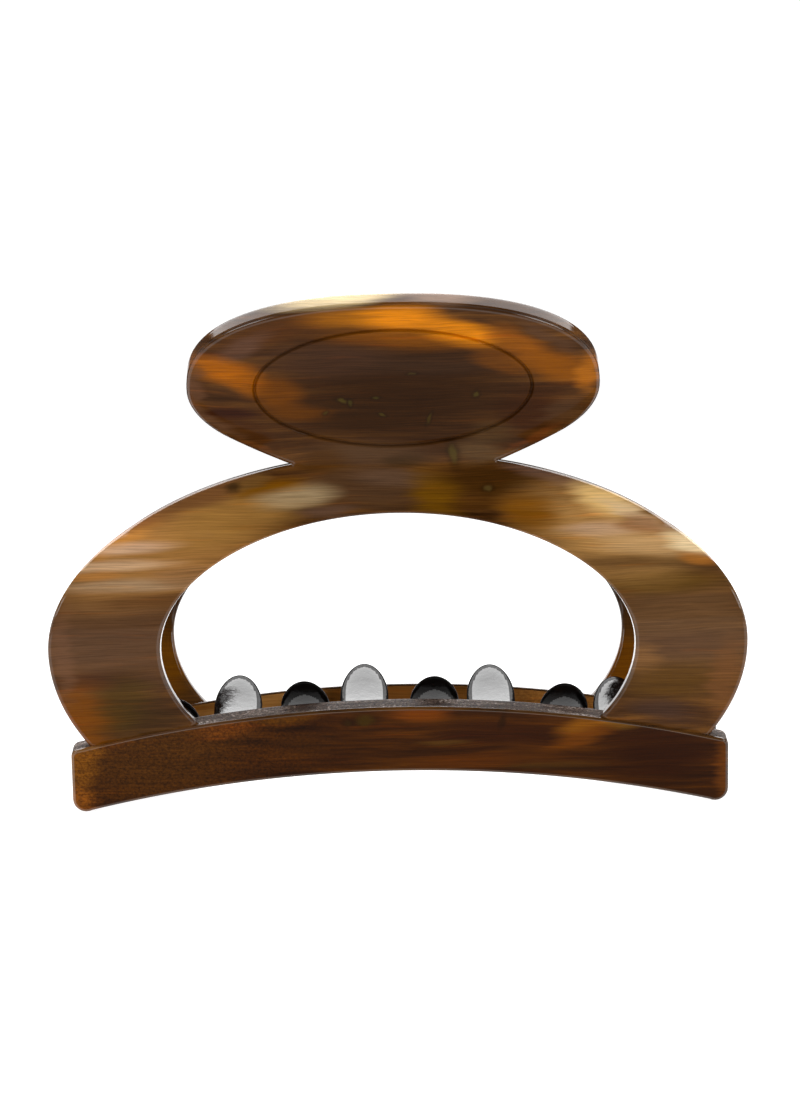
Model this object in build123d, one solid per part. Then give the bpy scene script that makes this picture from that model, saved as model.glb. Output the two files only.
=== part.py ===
from build123d import *
from math import acos, asin, atan, copysign, cos, degrees, hypot, radians, sin, sqrt, tan
import os

# A large acetate claw clip. Millimetres, +Z up, +X along the clip's long side.
# The clip stands on the ends of its two tooth bars, and the origin lies at the centre of that
# footprint. The front half is on the -Y side. The back half is the same half turned 180 degrees
# about Z, so only the front half is drawn.

os.makedirs("parts", exist_ok=True)

# Bent sheet that each jaw is made of: arch, neck and handle in one piece
SHEET_THICKNESS = 3.2
BULGE_Y = -17.0          # outermost line of the arch's outer face
BULGE_Z = 23.5
NECK_Y = -6.0            # narrowest line of the outer face, at the hinge
NECK_Z = 44.3
SHOULDER_RADIUS = 14.5   # bend through the bulge
LEG_LEAN = 14.0          # degrees, the flat legs below that bend, top outwards
NECK_RADIUS = 4.0        # hollow bend between the neck and the handle
HANDLE_LEAN = 36.0       # degrees from the vertical, top outwards
SHEET_FOOT = 20.0        # how far the legs are carried down before they are trimmed
SHEET_TOP = 25.0         # how far the handle's plane is carried up before it is trimmed

# Outline of the arch and its window, drawn flat in XZ as half ellipses above and below one line
ARCH_MID_Z = 21.0
ARCH_HALF_WIDTH = 44.6
ARCH_RISE = 24.2
ARCH_DROP = 27.2
WINDOW_HALF_WIDTH = 30.3
WINDOW_RISE = 16.6
WINDOW_DROP = 18.4

# Oval handle, drawn in its own leaning plane
HANDLE_MID_Z = 53.7
HANDLE_HALF_WIDTH = 26.5
HANDLE_UP = 12.9
HANDLE_DOWN = 13.0
HANDLE_UP_POWER = 2.4    # a superellipse, a little fuller than an ellipse at the top
HANDLE_DOWN_POWER = 2.0
OUTLINE_STEPS = 32       # points that the handle's outline runs through
PAD_HALF_WIDTH = 17.8    # oval groove round the thumb pad
PAD_HALF_HEIGHT = 9.2
GROOVE_WIDTH = 0.4
GROOVE_DEPTH = 0.35

# Tooth bar: an arched strip that both legs stand on
BAR_LENGTH = 84.4
BAR_HEIGHT = 8.6
BAR_THICKNESS = 4.0
BAR_ARCH_RADIUS = 175.0
BAR_LEAN = 12.0          # degrees, top outwards
BAR_FRONT_Y = -14.9      # top outer edge at mid length
BAR_BOTTOM_CORNER = 1.7
BAR_TOP_CORNER = 1.0

# Curved teeth that reach across to the other half's bar
TOOTH_COUNT = 5
TOOTH_PITCH = 16.8
TOOTH_OFFSET = -4.6      # middle tooth from the clip's centre, so that the two rows interleave
TOOTH_WIDTH = 6.4
TOOTH_ROOT_Y = -11.2
TOOTH_ROOT_Z = 8.85
TOOTH_ROOT_THICKNESS = 2.6
TOOTH_TIP_Y = 10.65
TOOTH_TIP_Z = 16.6
TOOTH_TIP_THICKNESS = 1.5
TOOTH_NOSE = 6.5         # length of the rounded end
SHORT_TOOTH = 1          # the tooth that faces the other half's leg stops short of it
SHORT_TOOTH_BY = 1.0

# Hinge: knuckles on the inner faces of the necks, a steel pin and a torsion spring
HINGE_Z = NECK_Z
PIN_RADIUS = 1.1
PIN_LENGTH = 26.4
PIN_CHAMFER = 0.25
RUNNING_CLEARANCE = 0.06
KNUCKLE_RADIUS = 2.45
KNUCKLE_LENGTH = 3.1
KNUCKLE_LEFT_X = -12.8   # outer end of the front half's left knuckle
KNUCKLE_RIGHT_X = 6.3    # inner end of its right knuckle
WIRE_RADIUS = 0.4
COIL_RADIUS = 1.9
COIL_FULL_TURNS = 11
COIL_PITCH = 0.85
SPRING_LEG = 10.0
SPRING_BEND = 0.8        # bend between a leg and its hooked end
SPRING_FOOT = 1.0
SPRING_GAP = 0.1         # hair gap between the wire and the handle's inner face

HALF_SPAN = 60.0         # half length of every trimming block, wider than the clip
HALF_TURN = Rot(0, 0, 180)


def polar(centre, radius, angle):
    """Point on a circle in a flat sketch, with the angle in degrees from its first axis."""
    return (
        centre[0] + radius * cos(radians(angle)),
        centre[1] + radius * sin(radians(angle)),
    )


def arc(centre, radius, start, end):
    """Circular arc from one angle to another, in degrees."""
    middle = (start + end) / 2
    return ThreePointArc(
        polar(centre, radius, start),
        polar(centre, radius, middle),
        polar(centre, radius, end),
    )


def sheet_bend():
    """Lean at the middle of the S bend, and the radius of the hollow bend below the neck."""
    depth = NECK_Y - BULGE_Y
    height = NECK_Z - BULGE_Z
    lean = 2 * atan(depth / height)
    return degrees(lean), height / sin(lean) - SHOULDER_RADIUS


def handle_start():
    """Where the handle's flat outer face begins, above the bend at the neck."""
    lean = radians(HANDLE_LEAN)
    return (
        NECK_Y - NECK_RADIUS * (1 - cos(lean)),
        NECK_Z + NECK_RADIUS * sin(lean),
    )


def handle_plane():
    """Plane of the handle's outer face, with its origin at the middle of the thumb pad."""
    lean = radians(HANDLE_LEAN)
    start_y, start_z = handle_start()
    middle_y = start_y - (HANDLE_MID_Z - start_z) * tan(lean)
    return Plane(
        origin=(0, middle_y, HANDLE_MID_Z),
        x_dir=(1, 0, 0),
        z_dir=(0, -cos(lean), -sin(lean)),
    )


def bent_sheet():
    """Full-width sheet with the jaw's profile, before its outline is cut."""
    s_lean, lower_neck_radius = sheet_bend()
    shoulder_centre = (BULGE_Y + SHOULDER_RADIUS, BULGE_Z)
    lower_neck_centre = (NECK_Y - lower_neck_radius, NECK_Z)
    upper_neck_centre = (NECK_Y - NECK_RADIUS, NECK_Z)
    bends = [
        (shoulder_centre, SHOULDER_RADIUS, -1, 180 + LEG_LEAN, 180 - s_lean),
        (lower_neck_centre, lower_neck_radius, 1, -s_lean, 0),
        (upper_neck_centre, NECK_RADIUS, 1, 0, HANDLE_LEAN),
    ]
    outer = [arc(c, r, start, end) for c, r, _, start, end in bends]
    inner = [
        arc(c, r + side * SHEET_THICKNESS, start, end) for c, r, side, start, end in bends
    ]
    upwards = Vector(-sin(radians(HANDLE_LEAN)), cos(radians(HANDLE_LEAN))) * SHEET_TOP
    downwards = Vector(sin(radians(LEG_LEAN)), -cos(radians(LEG_LEAN))) * SHEET_FOOT
    handle_end = (outer[-1] @ 1, inner[-1] @ 1, upwards)
    leg_end = (outer[0] @ 0, inner[0] @ 0, downwards)
    flats = [Polyline(a, a + run, b + run, b) for a, b, run in (handle_end, leg_end)]
    profile = make_face([*outer, *inner, *flats])
    return extrude(Plane.YZ * profile, amount=HALF_SPAN, both=True)


def two_half_ellipses(half_width, rise, drop):
    """Solid bar along Y whose section is a half ellipse above the arch's middle line and one
    below it."""
    middle = (0, ARCH_MID_Z)
    upper = EllipticalCenterArc(middle, half_width, rise, 0, arc_size=180)
    lower = EllipticalCenterArc(middle, half_width, drop, 180, arc_size=180)
    return extrude(Plane.XZ * make_face([upper, lower]), amount=HALF_SPAN, both=True)


def handle_outline():
    """Smooth closed curve through points of a superellipse, fuller above its middle."""
    points = []
    for step in range(OUTLINE_STEPS):
        angle = radians(360 * step / OUTLINE_STEPS)
        upper = sin(angle) > 0
        power = HANDLE_UP_POWER if upper else HANDLE_DOWN_POWER
        height = HANDLE_UP if upper else HANDLE_DOWN
        across = abs(cos(angle)) ** (2 / power) * HANDLE_HALF_WIDTH
        along = abs(sin(angle)) ** (2 / power) * height
        points.append((copysign(across, cos(angle)), copysign(along, sin(angle))))
    return Spline(*points, periodic=True)


def handle_blank():
    """Block square to the handle's plane with the oval outline."""
    outline = make_face(handle_outline())
    return extrude(handle_plane() * outline, amount=HALF_SPAN, both=True)


def pad_groove():
    """Shallow oval ring round the thumb pad."""
    outer = Ellipse(PAD_HALF_WIDTH + GROOVE_WIDTH / 2, PAD_HALF_HEIGHT + GROOVE_WIDTH / 2)
    inner = Ellipse(PAD_HALF_WIDTH - GROOVE_WIDTH / 2, PAD_HALF_HEIGHT - GROOVE_WIDTH / 2)
    ring = handle_plane() * (outer - inner)
    return extrude(ring, amount=GROOVE_DEPTH, both=True)


def bar_plane(top_z):
    """Plane of the bar's outer face, with its origin on the top edge at mid length."""
    lean = radians(BAR_LEAN)
    return Plane(
        origin=(0, BAR_FRONT_Y, top_z),
        x_dir=(1, 0, 0),
        z_dir=(0, -cos(lean), -sin(lean)),
    )


def arch_drop(x):
    """How far the arched bar falls away from its middle at x, along its own plane."""
    return BAR_ARCH_RADIUS - sqrt(BAR_ARCH_RADIUS**2 - x**2)


def bar_at(top_z):
    """Arched strip with rounded corners, leaning inwards towards its foot."""
    half = BAR_LENGTH / 2
    drop = arch_drop(half)
    top = ThreePointArc((-half, -drop), (0, 0), (half, -drop))
    foot = ThreePointArc((-half, -drop - BAR_HEIGHT), (0, -BAR_HEIGHT), (half, -drop - BAR_HEIGHT))
    left = Line(top @ 0, foot @ 0)
    right = Line(top @ 1, foot @ 1)
    outline = make_face([top, right, foot, left])
    corners = outline.vertices().sort_by(Axis.Y)
    outline = fillet(corners[:2], BAR_BOTTOM_CORNER)
    corners = outline.vertices().filter_by(lambda v: abs(v.Y + drop) < 1e-6)
    outline = fillet(corners, BAR_TOP_CORNER)
    return extrude(bar_plane(top_z) * outline, amount=-BAR_THICKNESS)


def below_bar_top(top_z):
    """Everything under the bar's arched top face, which the legs are trimmed to."""
    disc = Pos(0, -BAR_ARCH_RADIUS) * Circle(BAR_ARCH_RADIUS)
    return extrude(bar_plane(top_z) * disc, amount=HALF_SPAN, both=True)


def make_jaw(sheet, bar_top):
    """Arch, neck and oval handle in one bent piece, standing on its bar."""
    arch = two_half_ellipses(ARCH_HALF_WIDTH, ARCH_RISE, ARCH_DROP)
    window = two_half_ellipses(WINDOW_HALF_WIDTH, WINDOW_RISE, WINDOW_DROP)
    jaw = sheet & arch
    jaw = jaw - below_bar_top(bar_top)
    jaw = jaw - window
    handle = sheet & handle_blank()
    return jaw + handle - pad_groove()


def tooth_side(side, shorter):
    """Upper (1) or lower (-1) long curve of a tooth's profile in YZ, and the tip's slope."""
    full_reach = TOOTH_TIP_Y - TOOTH_ROOT_Y
    rise = TOOTH_TIP_Z - TOOTH_ROOT_Z
    radius = (full_reach**2 + rise**2) / (2 * rise)
    sweep_angle = asin((full_reach - shorter) / radius)
    points = []
    for share in (0, 0.5, 1):
        slope = share * sweep_angle
        half = (TOOTH_ROOT_THICKNESS + share * (TOOTH_TIP_THICKNESS - TOOTH_ROOT_THICKNESS)) / 2
        middle_y = TOOTH_ROOT_Y + radius * sin(slope)
        middle_z = TOOTH_ROOT_Z + radius * (1 - cos(slope))
        points.append((middle_y - side * half * sin(slope), middle_z + side * half * cos(slope)))
    return ThreePointArc(*points), slope


def make_tooth(x, shorter, bar):
    """Curved tongue with a rounded end, seated on the bar's inner face."""
    upper, slope = tooth_side(1, shorter)
    lower, _ = tooth_side(-1, shorter)
    half = TOOTH_TIP_THICKNESS / 2
    nose = (upper @ 1 + lower @ 1) / 2 + Vector(cos(slope), sin(slope)) * half
    tip = ThreePointArc(upper @ 1, nose, lower @ 1)
    root = Line(lower @ 0, upper @ 0)
    tongue = extrude(
        Plane.YZ * make_face([upper, tip, lower, root]), amount=TOOTH_WIDTH / 2, both=True
    )
    nose_start = nose.X - TOOTH_NOSE
    half_width = TOOTH_WIDTH / 2
    sides = Polyline(
        (half_width, nose_start),
        (half_width, TOOTH_ROOT_Y),
        (-half_width, TOOTH_ROOT_Y),
        (-half_width, nose_start),
    )
    end = EllipticalCenterArc((0, nose_start), half_width, TOOTH_NOSE, 0, arc_size=180)
    plan = extrude(make_face([sides, end]), amount=HALF_SPAN)
    drop = arch_drop(x) * cos(radians(BAR_LEAN))
    return Pos(x, 0, -drop) * (tongue & plan) - bar


def make_knuckle(start_x, bore_radius, sheet):
    """Hinge barrel with a web that seats on the neck's inner face."""
    middle = Plane(origin=(start_x, 0, HINGE_Z), x_dir=(0, 1, 0), z_dir=(1, 0, 0))
    lift = (Align.CENTER, Align.CENTER, Align.MIN)
    barrel = Cylinder(KNUCKLE_RADIUS, KNUCKLE_LENGTH, align=lift)
    reach = -NECK_Y - SHEET_THICKNESS / 2
    web = Box(
        reach, 2 * KNUCKLE_RADIUS, KNUCKLE_LENGTH, align=(Align.MAX, Align.CENTER, Align.MIN)
    )
    bore = Cylinder(bore_radius, KNUCKLE_LENGTH, align=lift)
    return middle * (barrel + web - bore) - sheet


def make_pin():
    """Steel pin along X through all four knuckles."""
    pin = Plane(origin=(0, 0, HINGE_Z), z_dir=(1, 0, 0)) * Cylinder(PIN_RADIUS, PIN_LENGTH)
    ends = pin.edges().filter_by(GeomType.CIRCLE)
    return chamfer(ends, PIN_CHAMFER)


def spring_leg_angle():
    """Where on the coil a leg leaves it, in degrees from +Y, so that the leg's far end lies
    close against the inner face of the front handle."""
    lean = radians(HANDLE_LEAN)
    face = (NECK_RADIUS - NECK_Y) * cos(lean) - NECK_RADIUS - SHEET_THICKNESS
    offset = WIRE_RADIUS + SPRING_GAP - face
    reach = hypot(COIL_RADIUS, SPRING_LEG)
    return HANDLE_LEAN + degrees(acos(offset / reach) - atan(SPRING_LEG / COIL_RADIUS))


def make_spring():
    """One wire: a close-wound coil round the pin, and a hooked leg on each handle's inner face."""
    angle = spring_leg_angle()
    turns = COIL_FULL_TURNS + (180 + 2 * angle) / 360
    length = turns * COIL_PITCH
    coil = Helix(
        COIL_PITCH,
        length,
        COIL_RADIUS,
        center=(-length / 2, 0, HINGE_Z),
        direction=(1, 0, 0),
        lefthand=True,
    )
    coil = coil.rotate(Axis((0, 0, HINGE_Z), (1, 0, 0)), angle - 90)
    upwards = -(coil % 0)
    sideways = (Vector(1, 0, 0) - upwards * upwards.X).normalized()
    bend_start = coil @ 0 + upwards * (SPRING_LEG - SPRING_BEND)
    bend_centre = bend_start + sideways * SPRING_BEND
    bend_middle = bend_centre + (upwards - sideways).normalized() * SPRING_BEND
    bend_end = bend_centre + upwards * SPRING_BEND
    foot_end = bend_end + sideways * SPRING_FOOT
    foot = Line(foot_end, bend_end)
    bend = ThreePointArc(bend_end, bend_middle, bend_start)
    leg = Line(bend_start, coil @ 0)
    far_side = [(HALF_TURN * piece).edge() for piece in (leg, bend, foot)]
    path = Wire([foot.edge(), bend.edge(), leg.edge(), coil.edge(), *far_side])
    return sweep(Plane(origin=foot_end, z_dir=-sideways) * Circle(WIRE_RADIUS), path=path)


def build():
    """Make every piece of the clip, by name."""
    trial = bar_at(0)
    bar_top = -trial.bounding_box().min.Z
    bar = bar_at(bar_top)
    sheet = bent_sheet()
    half = {
        "jaw": make_jaw(sheet, bar_top),
        "tooth_bar": bar,
    }
    for number in range(TOOTH_COUNT):
        x = TOOTH_OFFSET + (number - (TOOTH_COUNT - 1) / 2) * TOOTH_PITCH
        shorter = SHORT_TOOTH_BY if number + 1 == SHORT_TOOTH else 0
        half[f"tooth_{number + 1}"] = make_tooth(x, shorter, bar)
    pieces = {f"front_{name}": shape for name, shape in half.items()}
    pieces.update({f"back_{name}": HALF_TURN * shape for name, shape in half.items()})
    fitted = {"front": PIN_RADIUS, "back": PIN_RADIUS + RUNNING_CLEARANCE}
    for side, bore_radius in fitted.items():
        for end, start_x in (("left", KNUCKLE_LEFT_X), ("right", KNUCKLE_RIGHT_X)):
            knuckle = make_knuckle(start_x, bore_radius, sheet)
            if side == "back":
                knuckle = HALF_TURN * knuckle
            pieces[f"{side}_knuckle_{end}"] = knuckle
    pieces["hinge_pin"] = make_pin()
    pieces["torsion_spring"] = make_spring()
    return pieces


for name, shape in build().items():
    export_step(shape, f"parts/{name}.step")
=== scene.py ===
from math import acos, asin, atan, cos, hypot, pi, radians, sin, sqrt, tan

import bmesh
import bpy
import numpy as np
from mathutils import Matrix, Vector
from mathutils.geometry import delaunay_2d_cdt


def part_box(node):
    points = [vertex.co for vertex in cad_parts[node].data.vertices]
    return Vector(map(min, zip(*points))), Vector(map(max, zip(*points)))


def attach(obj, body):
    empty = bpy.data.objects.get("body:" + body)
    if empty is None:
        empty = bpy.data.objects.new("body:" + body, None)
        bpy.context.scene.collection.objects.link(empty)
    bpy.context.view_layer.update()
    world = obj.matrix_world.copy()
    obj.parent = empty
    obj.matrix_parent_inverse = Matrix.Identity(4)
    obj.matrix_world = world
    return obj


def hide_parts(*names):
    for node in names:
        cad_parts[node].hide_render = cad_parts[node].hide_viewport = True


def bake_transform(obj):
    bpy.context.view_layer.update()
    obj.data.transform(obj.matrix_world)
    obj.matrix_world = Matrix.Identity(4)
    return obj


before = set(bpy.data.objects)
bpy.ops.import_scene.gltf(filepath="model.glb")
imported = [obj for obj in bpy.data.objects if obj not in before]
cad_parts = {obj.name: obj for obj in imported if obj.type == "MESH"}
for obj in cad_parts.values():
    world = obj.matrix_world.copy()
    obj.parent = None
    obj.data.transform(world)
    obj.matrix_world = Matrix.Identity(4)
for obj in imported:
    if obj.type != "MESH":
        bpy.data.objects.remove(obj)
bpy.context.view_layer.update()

# Claw clip of horn-patterned acetate. The helpers work in millimetres in the frame's axes:
# +X along the hinge, +Z up, the front half on the -Y side. Meshes are written in metres.

MM = 0.001
FRONT = "front_half"
BACK = "back_half"


def node_box(node):
    """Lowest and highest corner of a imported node, in millimetres."""
    low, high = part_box(node)
    return np.array(low) / MM, np.array(high) / MM


# ---------------------------------------------------------------- sizes of the bent sheet

_, jaw_high = node_box("front_jaw")
bar_low, bar_high = node_box("front_tooth_bar")
pin_low, pin_high = node_box("hinge_pin")

SHEET = 3.2                      # thickness
NECK_Y = jaw_high[1] - SHEET
NECK_Z = (pin_low[2] + pin_high[2]) / 2
BULGE_Y = -17.0
BULGE_Z = 23.5
SHOULDER_RADIUS = 14.5
NECK_RADIUS = 4.0
LEG_LEAN = radians(14)
HANDLE_LEAN = radians(36)
ARCH_MID_Z = 21.0
ARCH_HALF_WIDTH = jaw_high[0]
ARCH_RISE = 24.2
ARCH_DROP = 27.2
WINDOW_HALF_WIDTH = 30.3
WINDOW_RISE = 16.6
WINDOW_DROP = 18.4
HANDLE_MID_Z = 53.7
HANDLE_FROM_Z = 38.0             # below any part of the handle's oval
HANDLE_HALF_WIDTH = 26.5
HANDLE_UP = 12.9
HANDLE_DOWN = 13.0
HANDLE_UP_POWER = 2.4
HANDLE_DOWN_POWER = 2.0
PAD_HALF_WIDTH = 17.8
PAD_HALF_HEIGHT = 9.2

# Tooth bar
BAR_HALF = bar_high[0]
BAR_HEIGHT = 8.6
BAR_THICKNESS = 4.0
BAR_ARCH_RADIUS = 175.0
BAR_LEAN = radians(12)
BAR_FRONT_Y = bar_low[1]
BAR_TOP_Z = bar_high[2] - BAR_THICKNESS * sin(BAR_LEAN)
BAR_BOTTOM_CORNER = 1.7
BAR_TOP_CORNER = 1.0


# ---------------------------------------------------------------- profile of the bent sheet

def arc_points(centre, radius, start, end, count=None):
    """Points on a circular arc, angles in radians, about one to a degree unless counted."""
    count = count or max(3, int(abs(end - start) / radians(1)) + 1)
    angles = np.linspace(start, end, count)
    return np.stack([centre[0] + radius * np.cos(angles), centre[1] + radius * np.sin(angles)], 1)


def sheet_faces():
    """Outer and inner face of the bent sheet as polylines in (y, z), from the foot upwards."""
    depth = NECK_Y - BULGE_Y
    height = NECK_Z - BULGE_Z
    lean = 2 * atan(depth / height)
    lower_neck_radius = height / sin(lean) - SHOULDER_RADIUS
    bends = [
        ((BULGE_Y + SHOULDER_RADIUS, BULGE_Z), SHOULDER_RADIUS, -1, pi + LEG_LEAN, pi - lean),
        ((NECK_Y - lower_neck_radius, NECK_Z), lower_neck_radius, 1, -lean, 0),
        ((NECK_Y - NECK_RADIUS, NECK_Z), NECK_RADIUS, 1, 0, HANDLE_LEAN),
    ]
    foot_way = np.array([sin(LEG_LEAN), -cos(LEG_LEAN)])
    handle_way = np.array([-sin(HANDLE_LEAN), cos(HANDLE_LEAN)])
    faces = []
    for inner in (0, 1):
        parts = [arc_points(c, r + inner * side * SHEET, a, b) for c, r, side, a, b in bends]
        joined = np.concatenate([parts[0], parts[1][1:], parts[2][1:]])
        foot = [joined[0] + foot_way * reach for reach in (20, 15, 10, 5, 2.5)]
        top = [joined[-1] + handle_way * reach for reach in (5, 10, 15, 20, 25)]
        faces.append(np.concatenate([foot, joined, top]))
    return faces


class Sheet:
    """Maps a point on the flattened outer face, and a depth behind it, into space.

    Below the neck the sheet is cut along Y, above it square to its own face, so the way
    through the sheet turns from +Y to the handle's normal over the upper neck bend."""

    def __init__(self):
        outer, inner = sheet_faces()
        steps = np.hypot(*np.diff(outer, axis=0).T)
        run = np.concatenate([[0], np.cumsum(steps)])
        fine = np.arange(0, run[-1], 0.1)
        self.y = np.interp(fine, run, outer[:, 0])
        self.z = np.interp(fine, run, outer[:, 1])
        behind = np.interp(self.z, inner[:, 1], inner[:, 0]) - self.y
        turn = np.clip((self.z - NECK_Z) / (NECK_RADIUS * sin(HANDLE_LEAN)), 0, 1)
        lean = np.arcsin(turn * sin(HANDLE_LEAN))
        above = self.z > NECK_Z
        self.through = np.where(above, SHEET, behind)
        self.way_y = np.where(above, np.cos(lean), 1.0)
        self.way_z = np.where(above, np.sin(lean), 0.0)
        self.run = fine
        start_y = NECK_Y - NECK_RADIUS * (1 - cos(HANDLE_LEAN))
        start_z = NECK_Z + NECK_RADIUS * sin(HANDLE_LEAN)
        up = self.z - HANDLE_MID_Z
        back = self.y - start_y + (HANDLE_MID_Z - start_z) * tan(HANDLE_LEAN)
        self.along = up * cos(HANDLE_LEAN) - back * sin(HANDLE_LEAN)
        self.pad = self.at_height(HANDLE_MID_Z)

    def at_height(self, z):
        return np.interp(z, self.z, self.run)

    def at_handle(self, along):
        upper = self.z > HANDLE_FROM_Z
        return np.interp(along, self.along[upper], self.run[upper])

    def face_y(self, z):
        return np.interp(z, self.z, self.y)

    def thickness(self, points):
        return np.interp(points[:, 1], self.run, self.through)

    def place(self, points, depth):
        s = points[:, 1]
        y = np.interp(s, self.run, self.y) + depth * np.interp(s, self.run, self.way_y)
        z = np.interp(s, self.run, self.z) + depth * np.interp(s, self.run, self.way_z)
        return np.stack([points[:, 0], y, z], 1)


class Flat:
    """The same for a flat plate: origin, upward way and inward way in (y, z)."""

    def __init__(self, origin, lean, thick):
        self.origin = np.array(origin)
        self.up = np.array([-sin(lean), cos(lean)])
        self.inwards = np.array([cos(lean), sin(lean)])
        self.thick = thick

    def thickness(self, points):
        return np.full(len(points), self.thick)

    def place(self, points, depth):
        yz = self.origin + points[:, 1:] * self.up + depth[:, None] * self.inwards
        return np.concatenate([points[:, :1], yz], 1)


# ---------------------------------------------------------------- plates with rounded edges

WALL_ROWS = 4


def resample(points, step):
    """The polyline's points, evenly spaced by about one step, with both ends kept."""
    points = np.asarray(points, float)
    run = np.concatenate([[0], np.cumsum(np.hypot(*np.diff(points, axis=0).T))])
    count = max(2, int(round(run[-1] / step)) + 1)
    even = np.linspace(0, run[-1], count)
    return np.stack([np.interp(even, run, points[:, k]) for k in (0, 1)], 1)


def mirrored(points):
    return points[::-1] * np.array([-1, 1])


def distance(points, starts, ends):
    """Distance from each point to the nearest of the segments."""
    best = np.full(len(points), np.inf)
    for a, b in zip(starts, ends):
        way = b - a
        share = np.clip((points - a) @ way / (way @ way), 0, 1)
        gap = points - a - share[:, None] * way
        best = np.minimum(best, np.hypot(gap[:, 0], gap[:, 1]))
    return best


def inside(points, loop):
    """Which points lie inside a closed loop."""
    x, y = points.T
    found = np.zeros(len(points), bool)
    for a, b in zip(loop, np.roll(loop, -1, 0)):
        crosses = (a[1] > y) != (b[1] > y)
        rise = b[1] - a[1] if b[1] != a[1] else 1e-12
        found ^= crosses & (x < (b[0] - a[0]) * (y - a[1]) / rise + a[0])
    return found


def within(points, loops):
    found = inside(points, loops[0])
    for hole in loops[1:]:
        found &= ~inside(points, hole)
    return found


def rings_inside(loop, free, offsets):
    """Points at each offset inwards from a loop's free edges, with a fan round each inner corner."""
    before = loop - np.roll(loop, 1, 0)
    after = np.roll(loop, -1, 0) - loop
    found = []
    for k in range(len(loop)):
        if not (free[k] or free[k - 1]):
            continue
        ways = []
        for way, is_free in ((before[k], free[k - 1]), (after[k], free[k])):
            if is_free:
                ways.append(np.arctan2(way[0], -way[1]))
        if len(ways) == 2:
            turn = (ways[1] - ways[0] + pi) % (2 * pi) - pi
            count = 1 if turn > -0.3 else int(abs(turn) / 0.25) + 1
            shares = [0.5] if count == 1 else np.linspace(0, 1, count)
            ways = [ways[0] + turn * share for share in shares]
        for angle in ways:
            for offset in offsets:
                found.append(loop[k] + offset * np.array([cos(angle), sin(angle)]))
    return np.array(found)


def points_within(loops, free, offsets, round_radius, spacing, extra):
    """Mesh points inside the loops: rings along the free edges, a grid, and any extra points."""
    starts = np.concatenate(loops)
    ends = np.concatenate([np.roll(loop, -1, 0) for loop in loops])
    is_free = np.concatenate(free)
    free_starts, free_ends = starts[is_free], ends[is_free]
    rings = np.concatenate([rings_inside(lp, fr, offsets) for lp, fr in zip(loops, free)])
    low, high = starts.min(0), starts.max(0)
    across = np.arange(low[0] + spacing / 2, high[0], spacing)
    upward = np.arange(low[1] + spacing / 2, high[1], spacing * 0.9)
    grid = np.array([(x + (k % 2) * spacing / 2, y) for k, y in enumerate(upward) for x in across])
    # a ring point stays only where no other free edge is nearer than the one it belongs to
    gaps = distance(rings, free_starts, free_ends)
    nearest_offset = np.array([min(offsets, key=lambda offset: abs(offset - gap)) for gap in gaps])
    in_place = abs(gaps - nearest_offset) < 0.03 * round_radius + 0.004
    rings = rings[in_place & within(rings, loops)]
    grid = grid[within(grid, loops)]
    grid = grid[distance(grid, free_starts, free_ends) > offsets[-1] + spacing * 0.35]
    if not is_free.all():
        seat_starts, seat_ends = starts[~is_free], ends[~is_free]
        grid = grid[distance(grid, seat_starts, seat_ends) > spacing * 0.4]
        rings = rings[distance(rings, seat_starts, seat_ends) > 0.05]
    if extra is not None:
        near = np.array([np.hypot(*(extra - point).T).min() for point in grid])
        grid = grid[near > spacing * 0.55]
        rings = np.concatenate([rings, extra])
    points = np.concatenate([rings, grid])
    # points that almost coincide are dropped
    _, unique = np.unique(np.round(points / 0.03).astype(int), axis=0, return_index=True)
    return points[np.sort(unique)]


def triangulate(loops, points):
    """Flat points and anticlockwise triangles that fill the loops and pass through the points."""
    edges = []
    base = 0
    for loop in loops:
        count = len(loop)
        edges += [(base + k, base + (k + 1) % count) for k in range(count)]
        base += count
    corners = [Vector(point) for point in np.concatenate(loops + [points])]
    made = delaunay_2d_cdt(corners, edges, [], 0, 1e-6, True)
    flat = np.array([tuple(v) for v in made[0]])
    triangles = np.array(made[2])
    triangles = triangles[within(flat[triangles].mean(1), loops)]
    a, b, c = (flat[triangles[:, k]] for k in range(3))
    area = (b - a)[:, 0] * (c - a)[:, 1] - (b - a)[:, 1] * (c - a)[:, 0]
    triangles = np.where((area < 0)[:, None], triangles[:, ::-1], triangles)
    return flat, triangles[abs(area) > 1e-9]


def rim_of(triangles):
    """The triangles' edges that only one of them has."""
    used = {}
    for tri in triangles:
        for p, q in ((tri[0], tri[1]), (tri[1], tri[2]), (tri[2], tri[0])):
            used[(p, q)] = True
    return [(p, q) for p, q in used if (q, p) not in used]


def finished(name, bm):
    """New piece from a closed bmesh."""
    mesh = bpy.data.meshes.new(name)
    bmesh.ops.recalc_face_normals(bm, faces=bm.faces)
    bm.to_mesh(mesh)
    bm.free()
    mesh.shade_smooth()
    return new_piece(name, mesh)


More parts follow.
